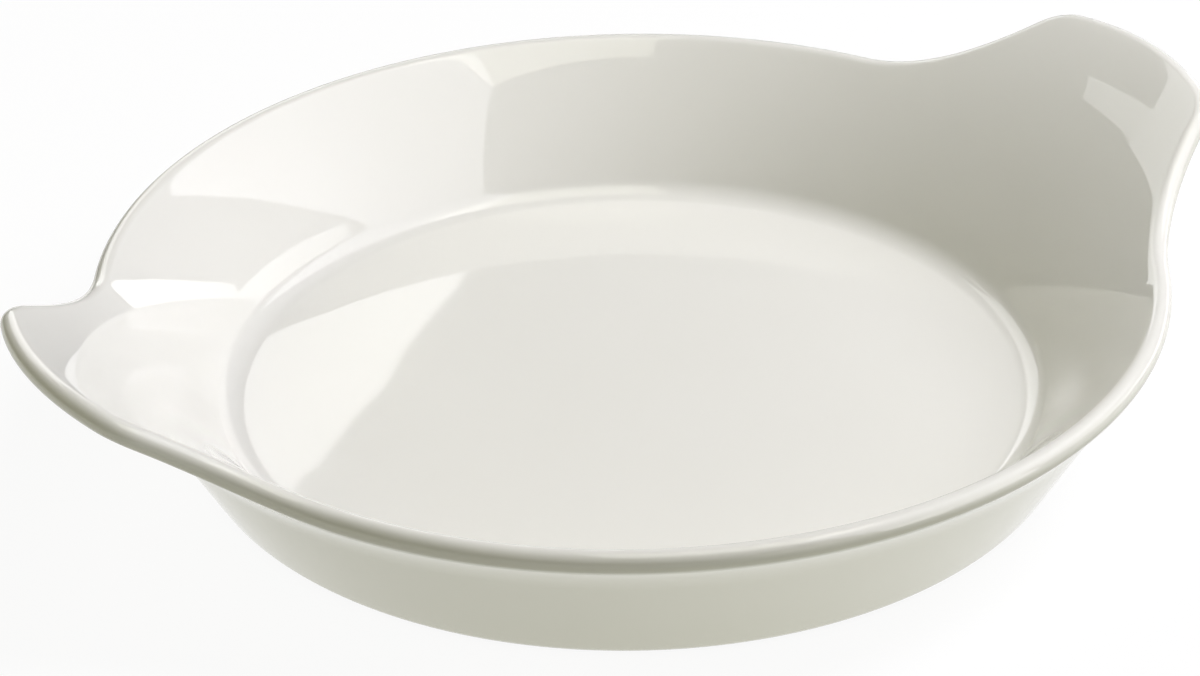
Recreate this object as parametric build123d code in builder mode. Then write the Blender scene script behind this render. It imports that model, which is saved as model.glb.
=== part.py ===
"""Round porcelain gratin dish with two upswept ears.

The dish is one clay casting: a flat floor with a rounded corner, a flared wall,
a full round lip and two ears that grow out of the wall on opposite sides.
A thin coat of glaze covers it, apart from the foot ring that it was fired on.

Millimetres, +Z up. The origin is the centre of the foot, on the table.
The ears point along X.
"""
from build123d import *
import os
from math import acos, asin, atan2, cos, degrees, radians, sin, sqrt

# Rim, ears and wall, measured over the glaze
rim_diameter = 240.0
rim_height = 38.0
ear_reach = 24.0  # how far an ear's tip stands out beyond the rim
wall_thickness = 5.0
rim_slope = 43.2  # degrees above level, where the wall meets the lip
ear_sweep_radius = 140.0  # upward curve of the ears and the inside wall, at mid wall
shoulder_radius = 37.0  # hollow curve under the lip, on the outside

# Plan outline of one ear
ear_tip_radius = 77.3
ear_corner_radius = 14.5
ear_corner_spread = 19.3  # from the dish's middle line to the centre of an ear's corner
ear_neck_radius = 81.8  # hollow curve from the rim to the ear

# Floor, foot and underside
floor_height = 7.3
floor_corner_radius = 7.4
foot_corner_radius = 4.2
foot_spread = 8.4  # from the centre of the floor's corner curve out to that of the foot's
ring_setback = 2.2  # the foot ring stands this far inside the foot's corner curve
ring_width = 3.7
ring_stand = 0.3  # how far the bare ring stands below the glaze
ring_edge_radius = 0.15
well_side = 0.4
well_corner_radius = 1.2

glaze_thickness = 0.3
lip_share = 0.49  # the lip is two fillets that all but meet, as a share of the wall
trim_overrun = 6.0  # how far the section runs past the outline that trims it

# Centres of the section's arcs, in distance from the axis and height
lip_radius = wall_thickness / 2
slope = radians(rim_slope)


def outward(angle):
    """Direction square to a wall of this slope, down and away from the axis."""
    return Vector(sin(angle), -cos(angle))


lip_centre = Vector(rim_diameter / 2 - lip_radius, rim_height - lip_radius)
sweep_centre = lip_centre + outward(slope) * ear_sweep_radius
shoulder_centre = lip_centre + outward(slope) * (lip_radius + shoulder_radius)

# The floor's corner touches the floor and the inside wall
corner_level = floor_height + floor_corner_radius
corner_reach = ear_sweep_radius + lip_radius + floor_corner_radius
corner_run = sqrt(corner_reach**2 - (corner_level - sweep_centre.Y) ** 2)
corner_centre = Vector(sweep_centre.X - corner_run, corner_level)
corner_slope = asin(corner_run / corner_reach)

# The straight outer wall touches the foot's corner and the shoulder
foot_corner_place = corner_centre.X + foot_spread
foot_centre = Vector(foot_corner_place, ring_stand + foot_corner_radius)
reach = shoulder_centre - foot_centre
wall_slope = atan2(reach.Y, reach.X) + asin((foot_corner_radius + shoulder_radius) / reach.length)

# The section ends beyond the ears' tips
rim_radius = rim_diameter / 2
ear_end = rim_radius + ear_reach
section_end = ear_end + trim_overrun
end_slope = asin((sweep_centre.X - section_end) / ear_sweep_radius)
section_top = (sweep_centre - outward(end_slope) * (ear_sweep_radius + lip_radius)).Y

# Foot ring, and the well that it encloses
ring_outer_radius = foot_corner_place - ring_setback
well_radius = ring_outer_radius - ring_width - glaze_thickness
well_level = ring_stand + well_side + well_corner_radius


def wall_arc(centre, radius, start, end):
    """Arc between two slopes, about a centre on the inward side of the wall."""
    middle = (start + end) / 2
    ThreePointArc(*(centre + outward(angle) * radius for angle in (start, middle, end)))


def hollow_arc(centre, radius, start, end):
    """The same about a centre on the outward side."""
    wall_arc(centre, -radius, start, end)


def section(inset):
    """Half section of the dish, with every face moved in by the inset."""
    underside = ear_sweep_radius - lip_radius + inset
    inside = ear_sweep_radius + lip_radius - inset
    well_edge = well_radius - well_corner_radius
    # Drawn across the plain rim, so that the turned faces have no seam in an ear
    with BuildSketch(Plane.YZ) as half:
        with BuildLine():
            # Foot, outer wall and the underside of the ears
            wall_arc(foot_centre, foot_corner_radius - inset, 0, wall_slope)
            Line(
                foot_centre + outward(wall_slope) * (foot_corner_radius - inset),
                shoulder_centre - outward(wall_slope) * (shoulder_radius + inset),
            )
            hollow_arc(shoulder_centre, shoulder_radius + inset, wall_slope, slope)
            hollow_arc(sweep_centre, underside, slope, end_slope)
            Line(
                sweep_centre - outward(end_slope) * underside,
                sweep_centre - outward(end_slope) * inside,
            )
            # Inside wall, the floor's corner and the floor
            hollow_arc(sweep_centre, inside, end_slope, corner_slope)
            wall_arc(corner_centre, floor_corner_radius + inset, corner_slope, 0)
            Polyline(
                (corner_centre.X, floor_height - inset),
                (0, floor_height - inset),
                (0, well_level + inset),
                (well_edge, well_level + inset),
            )
            # Well under the floor, and the face that the foot ring stands on
            RadiusArc(
                (well_edge, well_level + inset),
                (well_radius + inset, ring_stand + well_side),
                well_corner_radius + inset,
            )
            Polyline(
                (well_radius + inset, ring_stand + well_side),
                (well_radius + inset, ring_stand + inset),
                (foot_corner_place, ring_stand + inset),
            )
        make_face()
    return half.sketch


def heading(start, end):
    """Angle in degrees of the line from start to end, in plan."""
    step = end - start
    return degrees(atan2(step.Y, step.X))


# Centres of the plan outline's arcs, each tangent to the next
rim_centre = Vector(0, 0)
tip_centre = Vector(ear_end - ear_tip_radius, 0)
tip_reach = ear_tip_radius - ear_corner_radius
ear_corner = tip_centre + Vector(sqrt(tip_reach**2 - ear_corner_spread**2), ear_corner_spread)
neck_reach = rim_radius + ear_neck_radius
corner_gap = ear_neck_radius + ear_corner_radius
neck_turn = acos(
    (neck_reach**2 + ear_corner.length**2 - corner_gap**2) / (2 * neck_reach * ear_corner.length)
)
neck_heading = radians(heading(rim_centre, ear_corner)) + neck_turn
neck_centre = Vector(cos(neck_heading), sin(neck_heading)) * neck_reach

# Headings at which one arc hands over to the next
half_turn = 180.0
tip_end = heading(tip_centre, ear_corner)
corner_end = heading(ear_corner, neck_centre)
rim_start = heading(rim_centre, neck_centre)


def plan_outline(inset):
    """Outline of the dish from above, moved in by the inset."""
    with BuildSketch(Plane.XY) as plan:
        with BuildLine():
            with BuildLine(mode=Mode.PRIVATE) as side:
                CenterArc(ear_corner, ear_corner_radius - inset, tip_end, corner_end - tip_end)
                CenterArc(
                    neck_centre,
                    ear_neck_radius + inset,
                    corner_end + half_turn,
                    rim_start - corner_end,
                )
            with BuildLine(mode=Mode.PRIVATE) as ear:
                CenterArc(tip_centre, ear_tip_radius - inset, -tip_end, 2 * tip_end)
                add(side.line)
                mirror(side.line, about=Plane.XZ)
            CenterArc(rim_centre, rim_radius - inset, rim_start, half_turn - 2 * rim_start)
            CenterArc(rim_centre, rim_radius - inset, -rim_start, 2 * rim_start - half_turn)
            add(ear.line)
            mirror(ear.line, about=Plane.YZ)
        make_face()
    return plan.sketch


def dish_form(inset):
    """Whole form of the dish: a turned bowl, trimmed to its outline, with a round lip."""
    with BuildPart() as form:
        revolve(section(inset), axis=Axis.Z)
        extrude(plan_outline(inset), amount=section_top + trim_overrun, mode=Mode.INTERSECT)
        trimmed = form.faces().filter_by(GeomType.CYLINDER)
        trimmed = trimmed.filter_by(lambda face: face.center().Z > floor_height)
        lip_edges = trimmed.edges().filter_by(Axis.Z, reverse=True)
        fillet(lip_edges, radius=lip_share * (wall_thickness - 2 * inset))
    return form.part


glazed_form = dish_form(0)

# Fired clay: floor, wall, lip and both ears in one casting, and the bare foot ring
with BuildPart() as porcelain_body:
    with BuildSketch(Plane.XY):
        Circle(ring_outer_radius)
        Circle(ring_outer_radius - ring_width, mode=Mode.SUBTRACT)
    extrude(amount=ring_stand + glaze_thickness)
    ring_edges = porcelain_body.edges().group_by(Axis.Z)[0]
    fillet(ring_edges, radius=ring_edge_radius)
    add(dish_form(glaze_thickness))
porcelain_body.part.label = "porcelain_body"

# Glaze over the inside, the lip, the ears and the outside, down to the foot ring
with BuildPart() as glaze_coat:
    add(glazed_form)
    with BuildSketch(Plane.XY):
        Circle(well_radius + glaze_thickness)
    extrude(amount=well_level + glaze_thickness, mode=Mode.SUBTRACT)
    add(porcelain_body.part, mode=Mode.SUBTRACT)
glaze_coat.part.label = "glaze_coat"

# Glaze in the well under the floor, inside the foot ring
with BuildPart() as underside_glaze:
    with BuildSketch(Plane.XY):
        Circle(well_radius + glaze_thickness)
    extrude(amount=well_level + glaze_thickness)
    add(glazed_form, mode=Mode.INTERSECT)
    add(porcelain_body.part, mode=Mode.SUBTRACT)
underside_glaze.part.label = "underside_glaze"

os.makedirs("parts", exist_ok=True)
export_step(porcelain_body.part, "parts/porcelain_body.step")
export_step(glaze_coat.part, "parts/glaze_coat.step")
export_step(underside_glaze.part, "parts/underside_glaze.step")
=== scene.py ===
from math import acos, asin, atan2, cos, pi, radians, sin, sqrt, tan

import bpy
from mathutils import Matrix, Vector


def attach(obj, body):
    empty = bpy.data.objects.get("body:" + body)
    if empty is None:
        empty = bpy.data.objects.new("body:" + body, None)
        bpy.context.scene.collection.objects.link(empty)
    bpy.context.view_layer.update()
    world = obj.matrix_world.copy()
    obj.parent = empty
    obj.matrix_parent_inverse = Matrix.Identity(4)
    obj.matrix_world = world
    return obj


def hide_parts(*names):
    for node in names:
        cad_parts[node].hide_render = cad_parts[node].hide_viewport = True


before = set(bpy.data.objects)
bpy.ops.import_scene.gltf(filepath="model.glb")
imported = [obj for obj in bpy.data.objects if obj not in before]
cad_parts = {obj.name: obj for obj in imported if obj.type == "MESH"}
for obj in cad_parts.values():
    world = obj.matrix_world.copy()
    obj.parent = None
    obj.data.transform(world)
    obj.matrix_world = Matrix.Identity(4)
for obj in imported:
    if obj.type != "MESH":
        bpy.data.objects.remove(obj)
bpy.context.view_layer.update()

# Camera
# A long lens looks down on the dish from in front of its left ear, as the photograph does.
# The place, aim and roll were fitted to the rim, the foot and the floor of the real dish.
MM = 0.001
camera_heading = radians(-29.82)
camera_elevation = radians(30.9)
camera_roll = radians(-1.08)
camera_distance = 993.4 * MM
aim_right = -7.1 * MM
aim_up = 17.0 * MM
camera_lens = 131.13

up = Vector((0, 0, 1))
level_right = Vector((cos(camera_heading), sin(camera_heading), 0))
level_back = Vector((sin(camera_heading), -cos(camera_heading), 0))
sight_back = level_back * cos(camera_elevation) + up * sin(camera_elevation)
sight_up = sight_back.cross(level_right)
camera_place = sight_back * camera_distance
camera_aim = level_right * aim_right + sight_up * aim_up
back = (camera_place - camera_aim).normalized()
right = up.cross(back).normalized()
rolled_right = Matrix.Rotation(camera_roll, 3, back) @ right
camera = bpy.data.objects.new("camera", bpy.data.cameras.new("camera"))
turn = Matrix((rolled_right, back.cross(rolled_right), back)).transposed().to_4x4()
camera.matrix_world = Matrix.Translation(camera_place) @ turn
camera.data.lens = camera_lens
bpy.context.scene.collection.objects.link(camera)
bpy.context.scene.camera = camera

# Glazed surface
# One glossy coat over the clay: floor, wall, lip, both ears and the outside down to the foot ring.
# The clay was cast in one piece and dipped, so the coat runs unbroken round the full round lip.
rim_radius = 120 * MM
ear_end = 144 * MM
rim_height = 38 * MM
wall_thickness = 5 * MM
rim_slope = radians(43.2)
sweep_radius = 140 * MM
shoulder_radius = 37 * MM
ear_tip_radius = 77.3 * MM
ear_corner_radius = 14.5 * MM
ear_corner_spread = 19.3 * MM
ear_neck_radius = 81.8 * MM
floor_height = 7.3 * MM
floor_corner_radius = 7.4 * MM
foot_corner_radius = 4.2 * MM
foot_spread = 8.4 * MM
ring_setback = 2.2 * MM
ring_stand = 0.3 * MM
glaze_thickness = 0.3 * MM
lip_radius = wall_thickness / 2
floor_rows, corner_rows, wall_rows, lip_rows = 10, 14, 30, 22
underside_rows, flank_rows, foot_rows = 18, 6, 10
tip_columns, ear_corner_columns, neck_columns, rim_columns = 14, 16, 22, 56


def outward(angle):
    """Direction square to a wall of this slope, down and away from the axis, as (distance, height)."""
    return Vector((sin(angle), -cos(angle)))


def steps(start, end, count):
    """Evenly spaced values after the start, up to the end."""
    return [start + (end - start) * (i + 1) / count for i in range(count)]


lip_centre = Vector((rim_radius - lip_radius, rim_height - lip_radius))
sweep_centre = lip_centre + outward(rim_slope) * sweep_radius
shoulder_centre = lip_centre + outward(rim_slope) * (lip_radius + shoulder_radius)
corner_level = floor_height + floor_corner_radius
corner_reach = sweep_radius + lip_radius + floor_corner_radius
corner_run = sqrt(corner_reach**2 - (corner_level - sweep_centre.y) ** 2)
corner_centre = Vector((sweep_centre.x - corner_run, corner_level))
corner_slope = asin(corner_run / corner_reach)
foot_centre = Vector((corner_centre.x + foot_spread, ring_stand + foot_corner_radius))
reach = shoulder_centre - foot_centre
wall_slope = atan2(reach.y, reach.x) + asin((foot_corner_radius + shoulder_radius) / reach.length)
ring_radius = foot_centre.x - ring_setback


def outline():
    """Places on the lip's centre line in plan, each with its direction of travel, once round."""
    tip = Vector((ear_end - ear_tip_radius, 0))
    tip_reach = ear_tip_radius - ear_corner_radius
    corner = tip + Vector((sqrt(tip_reach**2 - ear_corner_spread**2), ear_corner_spread))
    neck_reach = rim_radius + ear_neck_radius
    gap = ear_neck_radius + ear_corner_radius
    turn = acos((neck_reach**2 + corner.length_squared - gap**2) / (2 * neck_reach * corner.length))
    neck_heading = atan2(corner.y, corner.x) + turn
    neck = Vector((cos(neck_heading), sin(neck_heading))) * neck_reach
    tip_end = atan2(corner.y - tip.y, corner.x - tip.x)
    corner_end = atan2(neck.y - corner.y, neck.x - corner.x)
    quarter = [
        (tip, ear_tip_radius - lip_radius, steps(0, tip_end, tip_columns)),
        (corner, ear_corner_radius - lip_radius, steps(tip_end, corner_end, ear_corner_columns)),
        (neck, -(ear_neck_radius + lip_radius), steps(corner_end, neck_heading, neck_columns)),
        (Vector((0, 0)), rim_radius - lip_radius, steps(neck_heading, pi / 2, rim_columns)),
    ]
    side = [(Vector((ear_end - lip_radius, 0)), Vector((0, 1)))]
    for centre, radius, headings in quarter:
        for heading in headings:
            arm = Vector((cos(heading), sin(heading)))
            side.append((centre + arm * radius, Vector((-arm.y, arm.x))))
    half = side + [(Vector((-p.x, p.y)), Vector((t.x, -t.y))) for p, t in reversed(side[:-1])]
    return half + [(-p, -t) for p, t in half[1:-1]]


def skin():
    """Columns of points round the dish, each from near the floor's centre over the lip to the foot ring."""
    columns = []
    for place, travel in outline():
        distance = place.length
        radial = place / distance
        slope = asin((sweep_centre.x - distance) / sweep_radius)

        def at(point):
            return Vector((radial.x * point.x, radial.y * point.x, point.y))

        column = [at(Vector((corner_centre.x * share, floor_height))) for share in steps(0, 1, floor_rows)]
        for angle in steps(0, corner_slope, corner_rows):
            column.append(at(corner_centre + outward(angle) * floor_corner_radius))
        for angle in steps(corner_slope, slope, wall_rows):
            column.append(at(sweep_centre - outward(angle) * (sweep_radius + lip_radius)))
        middle = at(sweep_centre - outward(slope) * sweep_radius)
        inward = -at(outward(slope))
        along = Vector((travel.x, travel.y, tan(slope) * travel.dot(radial))).normalized()
        over = along.cross(inward)
        for angle in steps(0, pi, lip_rows):
            column.append(middle + (inward * cos(angle) + over * sin(angle)) * lip_radius)
        under = (sweep_radius - lip_radius) * (rim_slope - slope)
        hollow = shoulder_radius * (wall_slope - rim_slope)
        for run in steps(0, under + hollow, underside_rows):
            if run < under:
                angle = slope + run / (sweep_radius - lip_radius)
                column.append(at(sweep_centre - outward(angle) * (sweep_radius - lip_radius)))
            else:
                angle = rim_slope + (run - under) / shoulder_radius
                column.append(at(shoulder_centre - outward(angle) * shoulder_radius))
        wall_end = shoulder_centre - outward(wall_slope) * shoulder_radius
        wall_start = foot_centre + outward(wall_slope) * foot_corner_radius
        for share in steps(0, 1, flank_rows):
            column.append(at(wall_end.lerp(wall_start, share)))
        for angle in steps(wall_slope, 0, foot_rows):
            column.append(at(foot_centre + outward(angle) * foot_corner_radius))
        column.append(at(Vector((ring_radius, ring_stand))))
        columns.append(column)
    return columns


columns = skin()
rows = len(columns[0])
inside_rows = floor_rows + corner_rows + wall_rows
# Painted shade: how much of the greyer colour each row gets, rising over the lip's outer side and fading over
# the first rows under it.
lip_shade_shares = [((1 - cos(angle)) / 2) ** 2 for angle in steps(0, pi, lip_rows)]
shade_fading_shares = [0.6, 0.2]
painted_shade_shares = [0] * inside_rows + lip_shade_shares + shade_fading_shares
painted_shade_shares += [0] * (rows - len(painted_shade_shares))
points = [point for column in columns for point in column]
centre = len(points)
points.append(Vector((0, 0, floor_height)))
faces = []
for i in range(len(columns)):
    here, there = i * rows, (i + 1) % len(columns) * rows
    faces.append((centre, here, there))
    for j in range(rows - 1):
        faces.append((here + j, here + j + 1, there + j + 1, there + j))
mesh = bpy.data.meshes.new("glazed_surface")
mesh.from_pydata(points, [], faces)
mesh.polygons.foreach_set("use_smooth", [True] * len(mesh.polygons))
# Painted shade mask: the share of the greyer colour at each point, stored on the mesh.
lip_shade = mesh.attributes.new("painted_lip_shade", "FLOAT", "POINT")
lip_shade.data.foreach_set("value", [share for column in columns for share in painted_shade_shares] + [0])
glaze = bpy.data.objects.new("glazed_surface", mesh)
bpy.context.scene.collection.objects.link(glaze)
thicken = glaze.modifiers.new("coat", "SOLIDIFY")
thicken.thickness = glaze_thickness
thicken.offset = -1
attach(glaze, "root")
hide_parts("glaze_coat")


def linear(colour):
    """An sRGB hex colour as linear RGBA."""
    shares = [int(colour[i : i + 2], 16) / 255 for i in (1, 3, 5)]
    return [c / 12.92 if c <= 0.04045 else ((c + 0.055) / 1.055) ** 2.4 for c in shares] + [1]


def new_material(name):
    """A material with its node tree and its shader."""
    material = bpy.data.materials.new(name)
    material.use_nodes = True
    return material, material.node_tree, material.node_tree.nodes["Principled BSDF"]


def add_node(tree, kind, inputs=(), **settings):
    """Adds a node with these settings, and with a value or a link for each of these inputs."""
    node = tree.nodes.new(kind)
    for name, value in settings.items():
        setattr(node, name, value)
    for name, value in dict(inputs).items():
        if isinstance(value, bpy.types.NodeSocket):
            tree.links.new(value, node.inputs[name])
        else:
            node.inputs[name].default_value = value
    return node


# Warm white glossy glaze: faint clouds in its colour and shine, a slow waviness that bends
# the edges of every reflection a little, and painted shade: a greyer band on the lip's outer side and
# underside.
cloud_size = 40 * MM
ripple_size = 17 * MM
ripple_height = 0.03 * MM
glaze_light = "#f0efe9"
glaze_shade = "#eeede6"
# Painted shade: the greyer colour laid on the lip's outer side and underside.
lip_painted_shade = "#c2c1b4"
porcelain, tree, shader = new_material("glazed_porcelain")
shader.inputs["IOR"].default_value = 1.5
place = add_node(tree, "ShaderNodeTexCoord").outputs["Object"]
clouds = add_node(tree, "ShaderNodeTexNoise", {"Vector": place, "Scale": 1 / cloud_size, "Detail": 3})
tint = add_node(
    tree,
    "ShaderNodeMix",
    {"Factor": clouds.outputs["Fac"], 6: linear(glaze_shade), 7: linear(glaze_light)},
    data_type="RGBA",
)
# Painted shade: mixes the greyer colour onto the lip by the mask.
lip_shade = add_node(tree, "ShaderNodeAttribute", attribute_name="painted_lip_shade").outputs["Fac"]
tint = add_node(
    tree,
    "ShaderNodeMix",
    {"Factor": lip_shade, 6: tint.outputs[2], 7: linear(lip_painted_shade)},
    data_type="RGBA",
)
tree.links.new(tint.outputs[2], shader.inputs["Base Color"])
shine = add_node(
    tree,
    "ShaderNodeMapRange",
    {"Value": clouds.outputs["Fac"], "From Min": 0.3, "From Max": 0.7, "To Min": 0.015, "To Max": 0.04},
)
tree.links.new(shine.outputs[0], shader.inputs["Roughness"])
ripple = add_node(tree, "ShaderNodeTexNoise", {"Vector": place, "Scale": 1 / ripple_size, "Detail": 1})
bump = add_node(tree, "ShaderNodeBump", {"Height": ripple.outputs["Fac"], "Distance": ripple_height})
tree.links.new(bump.outputs[0], shader.inputs["Normal"])
mesh.materials.append(porcelain)

# Foot ring
# The bare clay ring under the dish, wiped clean of glaze because the dish was fired on it.
# It is one casting with the body, so the casting itself is dressed.
# Bare fired clay: matt, a shade warmer than the glaze, with a fine grain.
grain_size = 0.5 * MM
grain_height = 0.04 * MM
clay_light = "#ddd8cb"
clay_shade = "#d0cabb"
clay, tree, shader = new_material("bare_fired_clay")
place = add_node(tree, "ShaderNodeTexCoord").outputs["Object"]
grain = add_node(tree, "ShaderNodeTexNoise", {"Vector": place, "Scale": 1 / grain_size, "Detail": 4})
tint = add_node(
    tree,
    "ShaderNodeMix",
    {"Factor": grain.outputs["Fac"], 6: linear(clay_shade), 7: linear(clay_light)},
    data_type="RGBA",
)
tree.links.new(tint.outputs[2], shader.inputs["Base Color"])
wear = add_node(tree, "ShaderNodeMapRange", {"Value": grain.outputs["Fac"], "To Min": 0.7, "To Max": 0.95})
tree.links.new(wear.outputs[0], shader.inputs["Roughness"])
bump = add_node(tree, "ShaderNodeBump", {"Height": grain.outputs["Fac"], "Distance": grain_height})
tree.links.new(bump.outputs[0], shader.inputs["Normal"])
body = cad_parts["porcelain_body"]
body.data.materials.clear()
body.data.materials.append(clay)

# Underside glaze
# The same glaze in the shallow well under the floor, inside the foot ring.
# It was dipped with the rest, and the bare ring parts it from the outer coat.
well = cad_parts["underside_glaze"]
well.data.materials.clear()
well.data.materials.append(porcelain)

# Table
# The dish stands on a sheet of opal plastic that is lit from below, as photographers use.
# Opal plastic: plain white to the eye, with the dish's soft shadow on it.
table_reach = 500 * MM
shadow_share = 0.08
white = "#ffffff"
table_grey = "#707070"
opal, tree, shader = new_material("opal_plastic")
rays = add_node(tree, "ShaderNodeLightPath").outputs
seen = add_node(tree, "ShaderNodeMath", {0: rays["Is Camera Ray"], 1: rays["Is Glossy Ray"]}, operation="ADD")
seen = add_node(
    tree,
    "ShaderNodeMath",
    {0: seen.outputs[0], 1: rays["Is Transmission Ray"]},
    operation="ADD",
    use_clamp=True,
)
tint = add_node(
    tree,
    "ShaderNodeMix",
    {"Factor": seen.outputs[0], 6: linear(table_grey), 7: linear(white)},
    data_type="RGBA",
)
tree.links.new(tint.outputs[2], shader.inputs["Base Color"])
shader.inputs["Roughness"].default_value = 1
shader.inputs["Specular IOR Level"].default_value = 0
glow = add_node(tree, "ShaderNodeEmission", {"Color": linear(white), "Strength": 1})
share = add_node(tree, "ShaderNodeMath", {0: seen.outputs[0], 1: 1 - shadow_share}, operation="MULTIPLY")
mix = add_node(tree, "ShaderNodeMixShader", {0: share.outputs[0], 1: shader.outputs[0], 2: glow.outputs[0]})
tree.links.new(mix.outputs[0], tree.nodes["Material Output"].inputs["Surface"])
sheet = bpy.data.meshes.new("table")
corners = [(x * table_reach, y * table_reach, 0) for x, y in ((-1, -1), (1, -1), (1, 1), (-1, 1))]
sheet.from_pydata(corners, [], [(0, 1, 2, 3)])
sheet.materials.append(opal)
table = bpy.data.objects.new("table", sheet)
bpy.context.scene.collection.objects.link(table)

# Lamps
# Soft lamps stand round the table, mostly to the right and behind, and the room in front is dark.
# Each has one strength as it lights the dish and one as the glaze mirrors it. Sizes here are in metres.
cool_white = "#faf9ff"
fill_white = "#fffee2"
warm_white = "#ffffee"


def softbox(
    name, turn, distance, height, width, length, glow=0, mirrored=0, shift=0, tilt=0, lean=0, colour=white
):
    """A flat lamp, with its radiance as it lights and as it is mirrored.

    Seen from the camera it stands off past the table's centre, in the direction turned this far
    to the right of straight on. It is shifted sideways and faces the table unless tilted down or
    leaned over. The mirrored lamp stands a little nearer, because one at the same place hides it.
    """
    heading = pi / 2 + camera_heading - radians(turn)
    away = Vector((cos(heading), sin(heading), 0))
    across = up.cross(away)
    place = away * distance - across * shift + up * height
    stand = Matrix((across, up, away)).transposed().to_4x4()
    tip = Matrix.Rotation(-radians(tilt), 4, "X") @ Matrix.Rotation(-radians(lean), 4, "Z")
    for part, radiance, nearer in (("light", glow, 0), ("mirrored", mirrored, 1 * MM)):
        if not radiance:
            continue
        lamp = bpy.data.lights.new(name + "_" + part, "AREA")
        lamp.shape = "RECTANGLE"
        lamp.size, lamp.size_y = width, length
        lamp.energy = radiance * pi * width * length
        lamp.color = linear(colour)[:3]
        holder = bpy.data.objects.new(lamp.name, lamp)
        holder.matrix_world = Matrix.Translation(place) @ stand @ tip @ Matrix.Translation((0, 0, -nearer))
        holder.visible_camera = False
        holder.visible_diffuse = part == "light"
        holder.visible_glossy = part == "mirrored"
        bpy.context.scene.collection.objects.link(holder)


# The big panel shows in the back wall, where it ends halfway along, and the wedge and the card below it
# show in the left wall. The reflector shows along the lip on the right.
softbox("side_softbox", 75, 1.2, 2.3, 2.75, 3.2, glow=0.6, mirrored=2.5, shift=0.755, colour=cool_white)
softbox("side_wedge", 75, 1.2, 0.303, 1.05, 0.3, mirrored=2.4, shift=-0.06, lean=25.2)
softbox("side_reflector", 75, 1.2, 0.355, 1.4, 0.65, glow=0.9, mirrored=4, shift=1.2)
softbox("low_card", 75, 1.2, 0.16, 1, 0.28, mirrored=2.2, shift=-1)
# The panel overhead shows in the back wall near the rim, and on the lip.
softbox(
    "overhead_softbox", 0, -0.25, 2.7, 1.4, 1.9, glow=0.1, mirrored=2.4, shift=0.5, tilt=90, colour=warm_white
)
# The panel behind the dish shows as the bright patch on its floor, and with the strip in the right ear.
softbox("back_softbox", 0, 1, 0.614, 0.464, 0.89, glow=1.85, mirrored=2.1, shift=-0.422, lean=35.4)
softbox("back_strip", 0, 1, 1.164, 0.14, 0.66, glow=1.6, mirrored=1.8, shift=-0.986, lean=35.4)
# The key lamps light the floor and the left wall from the right, and aren't mirrored.
softbox("key_lamp", 78, 0.817, 1.258, 0.5, 0.5, glow=16, tilt=57, colour=cool_white)
softbox("low_key_lamp", 78, 0.46, 0.386, 0.25, 0.25, glow=5.6, tilt=40, colour=cool_white)
# Weak lamps light what faces left and front, and the table's own glow lights what faces down.
softbox("left_fill", -97, 0.958, 0.722, 0.7, 0.5, glow=2.6, tilt=37, colour=fill_white)
softbox("front_fill", 180, 0.771, 0.919, 0.7, 0.5, glow=0.65, tilt=50, colour=fill_white)
softbox("low_reflector", 140, 1, 0.111, 0.728, 0.204, glow=1.9, mirrored=1.5, colour=warm_white)
softbox("table_glow", 0, 0, 0.0003, 1, 1, glow=0.54, tilt=-90, colour=warm_white)

# Room
# White behind the table to the camera, and unlit to the dish.
world = bpy.data.worlds.new("room")
bpy.context.scene.world = world
world.use_nodes = True
tree = world.node_tree
ray = add_node(tree, "ShaderNodeLightPath").outputs["Is Camera Ray"]
tree.links.new(ray, tree.nodes["Background"].inputs["Strength"])
tree.nodes["Background"].inputs["Color"].default_value = linear(white)

bpy.context.scene.view_settings.view_transform = "Standard"
